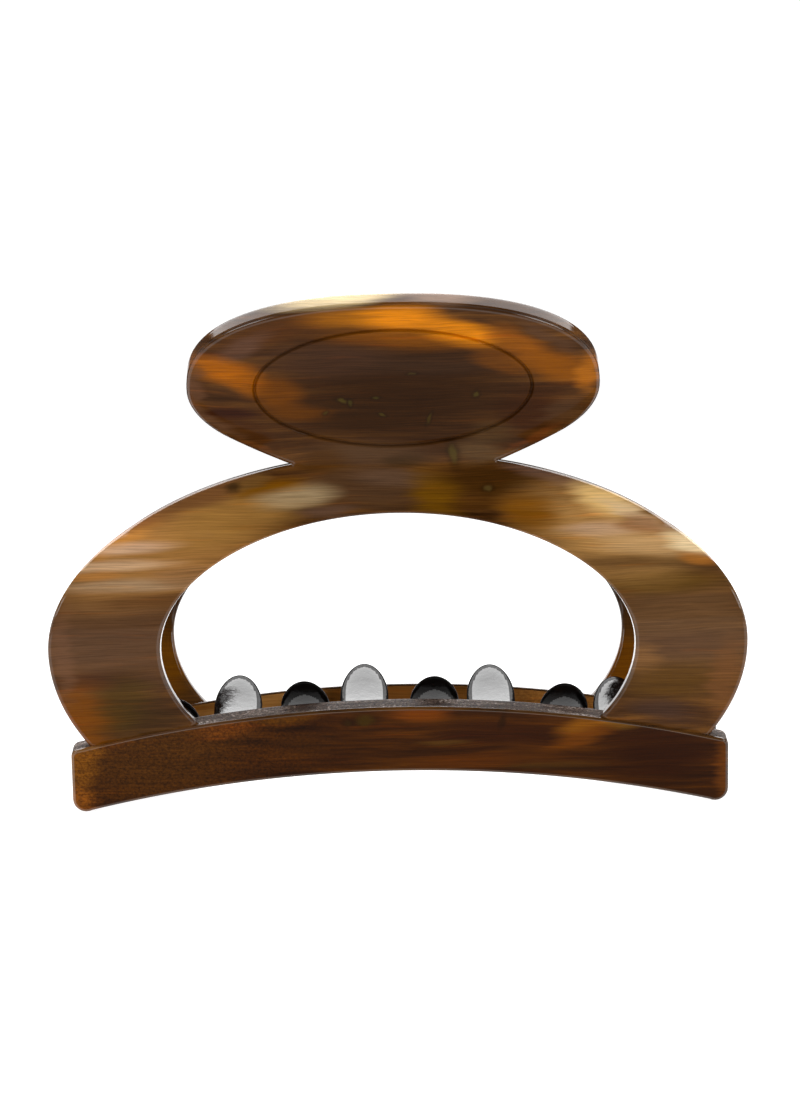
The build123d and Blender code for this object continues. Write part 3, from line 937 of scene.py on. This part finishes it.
# Soft patches of colour in the horn pattern, and in the front table some painted reflections, in mm and
# degrees:
# x, z, half width, half height, tilt, colour, strength.
FRONT_PATCHES = [
    # legs and lower arch
    (-37, 23, 13, 8, 0, "583b28", 1.0),
    (36, 23, 13, 8, 0, "62432b", 1.0),
    (-38, 17.3, 6, 1.3, 3, "3c2010", 0.8),
    (-41, 12, 5, 5, 0, "703c02", 0.95),
    (-35, 14, 4, 4, 10, "45300c", 0.8),
    (-31, 12, 3, 3, 10, "3c2610", 0.7),
    (-42.5, 21, 1.5, 6, 0, "664430", 0.7),
    (36, 20.6, 9, 1.7, 0, "573a27", 0.8),
    (31, 18.8, 2.6, 2.0, 0, "7a5230", 0.8),
    (35, 15.8, 8, 2.6, 4, "55360f", 0.9),
    (34, 12.3, 4.5, 1.6, -8, "432c22", 0.8),
    (42, 16, 2.0, 5.0, 0, "6e4424", 0.7),
    (34, 28.4, 9, 1.6, 0, "5d3f16", 0.8),
    # left shoulder
    (-30, 33.5, 15, 6, 14, "a06e3e", 1.0),
    (-21, 37.0, 9, 3.2, 16, "976a36", 1.0),
    (-35, 35.2, 5.5, 1.6, 24, "bc7c3c", 0.9),
    (-26, 40.0, 10, 1.9, 22, "72492a", 0.9),
    (-33, 36.9, 4, 1.0, 24, "8c5834", 0.7),
    # painted reflection: these three thin level streaks are partly horn colour, partly a painted
    # reflection of the overhead light
    (-34, 33.8, 6.5, 0.7, 3, "c29a80", 0.75),
    (-36, 31.9, 8, 0.7, 2, "c09878", 0.85),
    (-34, 29.5, 10, 0.9, 1, "9d7c60", 0.9),
    (-38, 30.7, 4, 0.7, 2, "a56c38", 0.8),
    (-27, 30.4, 4, 1.4, 0, "8c6240", 0.8),
    (-30, 27.4, 8, 1.0, 2, "5c3a20", 0.8),
    # crown
    (-3, 41.5, 9, 4, 0, "533825", 0.95),
    (-16, 41.0, 4.5, 1.3, 8, "754704", 0.9),
    # painted reflection: a grey-cream streak standing in for a soft light's reflection on the crown
    (-12.8, 39.8, 5.5, 1.5, 6, "a08464", 0.9),
    (-9, 37.9, 4, 0.8, 4, "66493a", 0.8),
    # painted reflection: grey haze standing in for a light's reflection at the crown
    (0.5, 42.3, 5, 1.1, 0, "614636", 0.8),
    (5.5, 40, 3.4, 3.4, 0, "704806", 0.95),
    (12, 41.8, 6, 3.0, -6, "3d2205", 0.95),
    (10, 38.6, 4, 1.0, 0, "4f2d0a", 0.7),
    (-19, 41.9, 3, 0.9, 18, "6c4a24", 0.8),
    (21, 41.8, 7, 1.3, -20, "62463a", 0.85),
    # right shoulder
    (26, 34.8, 11, 5.2, -18, "a97a48", 1.0),
    (17, 37.4, 4.2, 2.3, -16, "7d4a06", 0.9),
    # painted reflection: partly horn colour, partly a painted reflection of the overhead light
    (26.5, 38.6, 4.2, 1.9, -22, "d8ac72", 0.95),
    (30, 36.8, 4.5, 1.0, -24, "c8a684", 0.8),
    # painted reflection: partly horn colour, partly a painted reflection of the overhead light
    (26, 34.9, 5, 1.0, 0, "b58e72", 0.85),
    (31.5, 35.4, 3.2, 1.2, -6, "8a5c3c", 0.9),
    (33, 33.0, 8, 1.4, -4, "b78d62", 0.9),
    # painted reflection: partly horn colour, partly a painted reflection of the overhead light
    (37.6, 33.2, 3.8, 1.3, -14, "e0bf98", 0.95),
    (38.5, 31.2, 3, 0.7, -10, "a5662c", 0.9),
    (29, 31.0, 7, 1.0, 0, "654426", 0.85),
    # handle, rim
    (0, 54, 27, 12, 0, "40240e", 0.6),
    (-14, 61.4, 9, 1.5, 12, "4d2a0e", 0.9),
    (-19, 59.3, 4.5, 1.3, 24, "5a3c2e", 0.85),
    (-3.0, 62.9, 8, 1.2, 4, "9a5a0a", 0.9),
    (1.0, 62.6, 5.5, 1.5, 0, "c8740e", 1.0),
    (3, 60.2, 11, 1.3, -2, "7c4403", 0.95),
    (8.5, 60.9, 5.5, 1.6, -12, "c4720a", 1.0),
    (16.5, 58.8, 4.5, 2.1, -26, "85490a", 0.9),
    (20, 60.4, 4, 0.9, -30, "533624", 0.8),
    (21.5, 56.4, 5, 2.0, -10, "804604", 0.95),
    (25.3, 55.6, 1.8, 2.6, 0, "9c5a14", 0.9),
    (18, 50.6, 5, 3.2, 10, "3a1b05", 0.9),
    (22.5, 50.5, 3.0, 1.4, 20, "50341f", 0.7),
    (18.5, 47.2, 3.5, 0.45, 26, "7a3c16", 0.35),
    (13, 47.8, 3, 1.4, 0, "543a20", 0.7),
    (-21.5, 56.5, 4.8, 1.7, -14, "9c5403", 0.95),
    (-18, 54.7, 2.6, 1.5, -10, "8a4a02", 0.85),
    (-25.2, 53.0, 1.3, 4, 0, "5c3a26", 0.8),
    (-20.5, 51.0, 3.6, 1.1, -6, "33150a", 0.9),
    (-22, 49.6, 3.5, 0.9, -30, "5e4030", 0.7),
    (-18.5, 48.6, 4, 1.3, -26, "42230c", 0.8),
    (-18, 46.6, 2.6, 0.45, -24, "74401a", 0.35),
    # thumb pad
    (1, 53.0, 16, 6.6, 0, "2e1703", 0.97),
    (-8, 57.6, 9, 2.2, 0, "41281a", 0.85),
    (5, 57.0, 9, 1.4, 0, "3a2416", 0.7),
    (-14.4, 53.4, 3.2, 2.2, -18, "663602", 0.9),
    (-12.0, 50.8, 4.4, 1.2, -6, "5e3202", 0.8),
    (13.5, 57.2, 3.5, 1.3, -20, "6b3a08", 0.7),
    (-3, 49.3, 8, 1.2, 0, "321a04", 0.6),
    # neck
    # painted reflection: grey haze standing in for a light's reflection at the neck
    (-3, 45.4, 9, 1.4, 0, "523723", 0.85),
    (1.6, 44.2, 3.2, 0.9, 8, "38240f", 0.7),
    (11, 45.4, 3.4, 1.6, 0, "5a4028", 0.8),
    (-9, 44.2, 3.6, 1.6, 0, "4a2a06", 0.8),
    # edge of the handle's top: partly horn colour, partly a painted reflection of the overhead light
    (-6.0, 65.3, 8.5, 1.15, 6, "ecca9c", 1.0),
    (6, 65.2, 5.5, 1.0, -4, "94705c", 0.85),
]

# Small flecks and knots with a dark rim: x, z, half width, half height, tilt, colour.
FRONT_FLECKS = [
    (7.6, 45.1, 0.75, 1.7, 12, "5c4c20"),
    (-6.6, 52.3, 0.9, 0.4, -14, "5a4a1c"),
    (-5.6, 52.0, 0.35, 0.6, 10, "4c4018"),
    (-8.7, 50.7, 0.5, 0.3, 20, "4a3c16"),
    (-1.5, 50.4, 0.6, 0.3, -10, "544418"),
    (-2.3, 52.6, 0.6, 0.25, 0, "4c4018"),
    (10.6, 52.8, 0.6, 0.5, 20, "54461c"),
    (4.6, 49.8, 0.3, 1.0, -24, "4e3c12"),
    (2.4, 55.6, 0.8, 0.2, 0, "4a3a1a"),
    (-21, 41.3, 0.9, 0.7, 10, "2c1c0c"),
    (12, 40.6, 0.8, 0.6, 0, "66502a"),
]

BACK_PATCHES = [
    (-36, 20, 12, 9, 0, "54361c", 1.0),
    (36, 19, 12, 9, 0, "5a3a1c", 1.0),
    (-30, 16, 5, 4, 0, "7a4608", 0.9),
    (32, 17, 4, 5, 0, "6e4008", 0.9),
    (29, 27, 4, 7, 30, "3a2008", 0.9),
    (-29, 28, 4, 7, -30, "33200c", 0.9),
    (-28, 35, 12, 3, 12, "8f6236", 0.9),
    (24, 36, 12, 3.5, -14, "9a6c3a", 0.9),
    (33, 32, 7, 0.9, -3, "b98f70", 0.8),
    (-35, 31, 7, 0.9, 3, "b78a60", 0.8),
    (-18, 38, 5, 2, 10, "b88a54", 0.8),
    (10, 40, 6, 3, 0, "6e4608", 0.9),
    (-4, 41, 8, 3, 0, "4c3220", 0.9),
    (0, 54, 26, 11, 0, "3a200c", 0.7),
    (-8, 62, 8, 1.5, 4, "b4660e", 0.9),
    (12, 61, 6, 1.4, -12, "8c4c08", 0.9),
    (22, 55, 5, 2.2, 8, "8c5006", 0.9),
    (-21, 52, 5, 2, -8, "7a4206", 0.9),
    (-2, 54, 14, 5, 0, "2c1604", 0.9),
    (12, 51, 5, 1.3, 0, "5c3408", 0.8),
    (4, 65.3, 8, 1.1, -4, "dcb480", 0.9),
]

BAR_PATCHES = [
    (-31, 7.5, 11, 6, 10, "4d3220", 0.95),
    (-41, 7.5, 2.4, 6, 0, "7a522c", 0.9),
    (-41.5, 1.5, 2.5, 1.8, 0, "885630", 0.9),
    (-36, 10.5, 4, 1.6, 14, "5a3206", 0.8),
    (-22.5, 10.6, 4.5, 1.4, 8, "6e4224", 0.85),
    (-15, 11.5, 4, 1.2, 4, "62400f", 0.8),
    (-13, 8.3, 5, 1.2, 0, "3a220a", 0.7),
    (2.5, 12.0, 4, 1.1, 0, "7a4402", 0.9),
    (14, 9.2, 9, 1.8, -2, "371b02", 0.85),
    (9, 5.8, 9, 1.1, 0, "5c3402", 0.85),
    (18, 6.6, 5, 1.2, -6, "4e2d04", 0.8),
    (25, 10.6, 4.5, 0.9, 14, "94642c", 0.8),
    (24, 8.9, 5, 1.0, 18, "74460c", 0.85),
    (33.5, 6.8, 7, 4.2, 0, "2f1502", 0.9),
    (29, 10.9, 2.4, 1.0, 0, "8c6c50", 0.7),
    (36, 10.6, 5, 1.4, -10, "3c2210", 0.8),
    (41.6, 4.5, 1.4, 5, 0, "6c4228", 0.85),
    (5.5, 8.3, 4, 0.3, -2, "5c4434", 0.8),
    (20, 5.0, 6, 0.6, 0, "4f3a28", 0.6),
]

BACK_BAR_PATCHES = [
    # painted light: the three lighter bands along the top stand in for light falling on the bar's top
    (-20, 12.0, 10, 2.0, 8, "a26a34", 0.9),
    (0, 12.4, 9, 1.6, 0, "8a5424", 0.9),
    (18, 12.0, 8, 1.8, -8, "b37c44", 0.9),
    (-34, 7.0, 8, 4.0, 0, "5a3414", 0.9),
    (30, 6.0, 8, 4.0, 0, "4e2c10", 0.9),
    (4, 7.5, 10, 2.5, 0, "5e3812", 0.8),
]

BAR_FLECKS = [
    (-4.4, 11.4, 1.7, 1.1, 0, "4c4216"),
    (-6.6, 11.0, 0.7, 0.6, 0, "3a2c10"),
    (13.2, 11.0, 0.4, 0.9, -20, "2c1a06"),
]


PLAIN_TINT = (1.04, 1.07, 0.98, 1)


def grit(shade, place, amount):
    """Brightness of a sandy speckle that grows towards the left end."""
    grains = shade.noise(place, (0.4, 0.4, 0.3), 3.0, 0.7)
    grains = shade.span(grains, 0.3, 0.7, 1 - amount, 1 + amount, smooth=False)
    left = shade.span(shade.add("ShaderNodeSeparateXYZ", Vector=shade.place).outputs[0], -2, -20)
    return shade.maths("ADD", 1.0, shade.maths("MULTIPLY", left, shade.maths("SUBTRACT", grains, 1.0)))


def horn(name, patches, flecks, seed, ground, speckle=0.0, half_turn=False, coat_ior=1.15,
         depth=1.0, tint=PLAIN_TINT):
    """Polished acetate with a streaked horn pattern that runs right through the sheet; the patches
    given to it carry painted reflections on the front jaw and painted light on the back bar.
    """
    shade = Shade(name, half_turn)
    grain_place = shade.vector("ADD", shade.place, (seed, seed * 0.7, seed * 0.3))
    drift = shade.wander(grain_place, (22, 14, 9), 2.0, (4.0, 0.0, 2.2))
    feather = shade.wander(grain_place, (14, 9, 0.8), 3.0, (4.4, 0.0, 0.5))
    bent = shade.vector("ADD", shade.vector("ADD", shade.place, drift), feather)
    streak_place = shade.vector("ADD", grain_place, drift)

    streaks = shade.noise(streak_place, (17, 9, 1.1), 5.0, 0.62)
    colour = shade.ramp(streaks, list(zip((0.28, 0.48, 0.66, 0.8), ground)))
    uneven = shade.span(shade.noise(streak_place, (8, 8, 0.8), 4.0, 0.65), 0.3, 0.7, 0.8, 1.0)
    for patch in patches:
        colour = shade.oval(colour, bent, uneven, *patch)
    lines = shade.noise(streak_place, (9, 6, 0.15), 6.0, 0.72)
    colour = shade.brighten(colour, shade.span(lines, 0.3, 0.7, 0.68, 1.32, smooth=False))
    amber = shade.span(shade.noise(streak_place, (12, 7, 0.45), 4.0, 0.6), 0.56, 0.74, 0.0, 0.5)
    colour = shade.mix(amber, colour, (1.5, 1.12, 0.7, 1), "MULTIPLY")
    wobble = shade.wander(grain_place, (0.9, 0.9, 0.9), 2.0, (0.5, 0.0, 0.5))
    near = shade.vector("ADD", shade.place, wobble)
    for x, z, half_x, half_z, tilt, core in flecks:
        for size, code in ((1.3, "1c1004"), (0.7, core)):
            colour = shade.oval(colour, near, 1.0, x, z, half_x * size, half_z * size, tilt, code, 0.45)
    if speckle:
        colour = shade.brighten(colour, grit(shade, grain_place, speckle))
    colour = shade.mix(1.0, colour, tint, "MULTIPLY")
    colour = shade.add("ShaderNodeGamma", Color=colour, Gamma=depth).outputs[0]
    haze = shade.noise(grain_place, (11, 11, 7), 3.0)
    waves = shade.noise(grain_place, (7, 7, 5), 2.0)
    polish = shade.noise(grain_place, (1.5, 1.5, 0.25), 3.0)
    height = shade.maths("ADD", waves, shade.maths("MULTIPLY", polish, 0.02))
    bump = shade.bump(height, 0.35, 0.12)
    return shade.give(
        Base_Color=colour,
        Roughness=shade.span(haze, 0.3, 0.7, 0.3, 0.42),
        Normal=bump,
        Coat_Normal=bump,
        Specular_IOR_Level=0.0,
        Coat_Weight=1.0,
        Coat_Roughness=0.08,
        Coat_IOR=coat_ior,
    )


def jaw_horns(side, patches, flecks, seed, half_turn):
    """A jaw's face, cut edge and rim: one pattern, with more gloss from each to the next."""
    looks = (("", flecks, 1.15), ("_cut", [], 1.22), ("_rim", [], 1.42))
    return [
        horn(f"horn_{side}{part}", patches, spots, seed, JAW_GROUND, half_turn=half_turn,
             coat_ior=gloss, depth=1.08, tint=(1.1, 1.22, 1.2, 1))
        for part, spots, gloss in looks
    ]


def sawn_edge(name):
    """Coarse sawn top of a tooth bar: brown, with bright specks that are painted glints off the rough
    face.
    """
    shade = Shade(name)
    grain_and_glints = shade.noise(shade.place, (0.35, 0.45, 0.3), 4.0, 0.7)
    runs = shade.noise(shade.place, (7, 1.2, 1.2), 3.0)
    painted_glint_mask = shade.maths("ADD", grain_and_glints, shade.maths("MULTIPLY", runs, 0.5))
    # the lightest ramp stops paint glints: bright specks standing in for sparkle off the rough sawn
    # face
    colour = shade.ramp(painted_glint_mask, [(0.55, "1e120a"), (0.72, "38251a"), (0.84, "7a685c"), (0.98, "e6dedb")])
    return shade.give(Base_Color=colour, Roughness=shade.span(grain_and_glints, 0.3, 0.7, 0.25, 0.5),
                      Normal=shade.bump(grain_and_glints, 0.8, 0.25), IOR=1.33)


def dark_acetate(name, ior):
    """Near-black acetate, polished but mottled by a fine unevenness."""
    shade = Shade(name)
    cloud = shade.noise(shade.place, (4, 3, 2), 4.0, 0.6)
    colour = shade.ramp(cloud, [(0.3, "060505"), (0.6, "0d0a09"), (0.8, "1a110c")])
    grain = shade.noise(shade.place, (0.35, 0.6, 0.35), 3.0, 0.7)
    smear = shade.noise(shade.place, (1.6, 2.4, 1.0), 3.0, 0.6)
    haze = shade.maths("ADD", shade.span(grain, 0.3, 0.7, 0.05, 0.14),
                       shade.span(smear, 0.35, 0.65, 0.0, 0.08))
    height = shade.maths("ADD", smear, shade.maths("MULTIPLY", grain, 0.3))
    return shade.give(Base_Color=colour, Roughness=haze, Normal=shade.bump(height, 0.5, 0.1), IOR=ior)


def steel(name, tint, along):
    """Drawn steel with fine lines along the wire or round the pin."""
    shade = Shade(name)
    stain = shade.noise(shade.place, (3, 2, 2), 4.0, 0.6)
    drawn = shade.noise(shade.place, along, 3.0, 0.6)
    return shade.give(
        Base_Color=shade.ramp(stain, [(0.3, tint[0]), (0.7, tint[1])]),
        Roughness=shade.span(drawn, 0.3, 0.7, 0.18, 0.38),
        Normal=shade.bump(drawn, 0.25, 0.02),
        Metallic=1.0,
    )


# from the darkest streaks to the lightest
JAW_GROUND = ("2c1706", "4a2c14", "6a421c", "8a5a2a")
BAR_GROUND = ("241102", "3d2204", "543208", "6c4514")
# painted light: this ground is lighter than the front bar's, standing in for light on the back bar
BACK_BAR_GROUND_PAINTED_LIGHTER = ("4a2c10", "6e4418", "8f5e2c", "b98448")

front_bar_horn = horn("bar_horn_front", BAR_PATCHES, BAR_FLECKS, 57.0, BAR_GROUND, speckle=0.55,
                      depth=1.04, tint=(0.86, 0.68, 0.14, 1))
back_bar_horn = horn("bar_horn_back", BACK_BAR_PATCHES, [], 83.0, BACK_BAR_GROUND_PAINTED_LIGHTER, speckle=0.3,
                     half_turn=True)
bar_edge = horn("bar_edge", BAR_PATCHES[:4], [], 57.0, BAR_GROUND, coat_ior=1.55)
black = [dark_acetate("dark_acetate", 1.5), dark_acetate("dark_acetate_rim", 1.14)]
dressed = [
    (front_jaw, jaw_horns("front", FRONT_PATCHES, FRONT_FLECKS, 0.0, False)),
    (back_jaw, jaw_horns("back", BACK_PATCHES, [], 31.0, True)),
    (front_bar, [front_bar_horn, sawn_edge("sawn_front_bar_strip"), bar_edge]),
    (back_bar, [back_bar_horn, sawn_edge("sawn_back_bar_strip"), bar_edge]),
    (pin, [steel("pin_steel", ("8d8f92", "b9bbbd"), (0.2, 2.0, 2.0))]),
    (spring, [steel("spring_steel", ("7d7f82", "a9abad"), (0.15, 1.5, 1.5))]),
]
dressed += [(piece, black) for piece in teeth + knuckles]
for piece, materials in dressed:
    for material in materials:
        piece.data.materials.append(material)


# ---------------------------------------------------------------- stage, light and camera

FLOOR_HALF = 6.0
LIGHTS_AIM = (0, 0, 0.03)
# name, place, size, watts: one box high behind, two high in front and two low at the sides
LIGHTS = (
    ("back_box", (0, 0.38, 0.62), (1.05, 0.46), 9.0),
    ("left_box", (-0.6, -0.6, 0.55), (0.35, 0.35), 2.5),
    ("right_box", (0.6, -0.6, 0.45), (0.35, 0.35), 2.5),
    ("right_panel", (0.75, 0.05, 0.2), (0.5, 0.35), 1.6),
    ("left_panel", (-0.75, 0.05, 0.2), (0.5, 0.35), 1.2),
)
CAMERA_PLACE = (0.0005, -0.5, 0.0592)
CAMERA_DOWN = radians(3.04)
CAMERA_ROLL = radians(-1.05)
CAMERA_LENS = 125.05


def make_floor():
    """Pale matt floor that glows a little, so that it looks white."""
    mesh = bpy.data.meshes.new("floor")
    corners = [(x * FLOOR_HALF, y * FLOOR_HALF, 0) for x, y in ((-1, -1), (1, -1), (1, 1), (-1, 1))]
    mesh.from_pydata(corners, [], [(0, 1, 2, 3)])
    floor = new_piece("floor", mesh)
    shade = Shade("pale_floor")
    cloud = shade.noise(shade.place, (300, 300, 300), 3.0)
    material = shade.give(
        Base_Color=shade.ramp(cloud, [(0.3, "b2b1b0"), (0.7, "b8b7b6")]),
        Roughness=0.7,
        Specular_IOR_Level=0.1,
        Emission_Color=(1, 1, 1, 1),
        Emission_Strength=0.94,
    )
    floor.data.materials.append(material)


def area_light(name, place, size, power):
    light = bpy.data.lights.new(name, "AREA")
    light.shape = "RECTANGLE"
    light.size, light.size_y = size
    light.energy = power
    holder = bpy.data.objects.new(name, light)
    holder.location = place
    way = Vector(LIGHTS_AIM) - Vector(place)
    holder.rotation_euler = way.to_track_quat("-Z", "Y").to_euler()
    bpy.context.scene.collection.objects.link(holder)


def make_world():
    """White to the camera; to everything else dark, with one bright patch straight behind."""
    world = bpy.data.worlds.new("studio")
    bpy.context.scene.world = world
    world.use_nodes = True
    sky = Nodes(world.node_tree)
    direction = sky.add("ShaderNodeTexCoord").outputs["Generated"]
    behind = sky.add("ShaderNodeSeparateXYZ", Vector=direction).outputs["Y"]
    patch = sky.span(behind, 0.93, 0.98, 0.12, 1.1)
    seen = sky.add("ShaderNodeLightPath").outputs["Is Camera Ray"]
    background = sky.tree.nodes["Background"]
    background.inputs["Color"].default_value = (1, 1, 1, 1)
    sky.feed(background, "Strength", sky.maths("MAXIMUM", patch, seen))


def make_camera():
    data = bpy.data.cameras.new("camera")
    data.lens = CAMERA_LENS
    data.sensor_width = 36
    data.clip_start = 0.01
    camera = bpy.data.objects.new("camera", data)
    camera.location = CAMERA_PLACE
    camera.rotation_euler = (pi / 2 - CAMERA_DOWN, 0, 0)
    camera.rotation_euler.rotate_axis("Z", CAMERA_ROLL)
    bpy.context.scene.collection.objects.link(camera)
    return camera


make_floor()
make_world()
for light in LIGHTS:
    area_light(*light)
scene = bpy.context.scene
scene.view_settings.view_transform = "Standard"
scene.camera = make_camera()
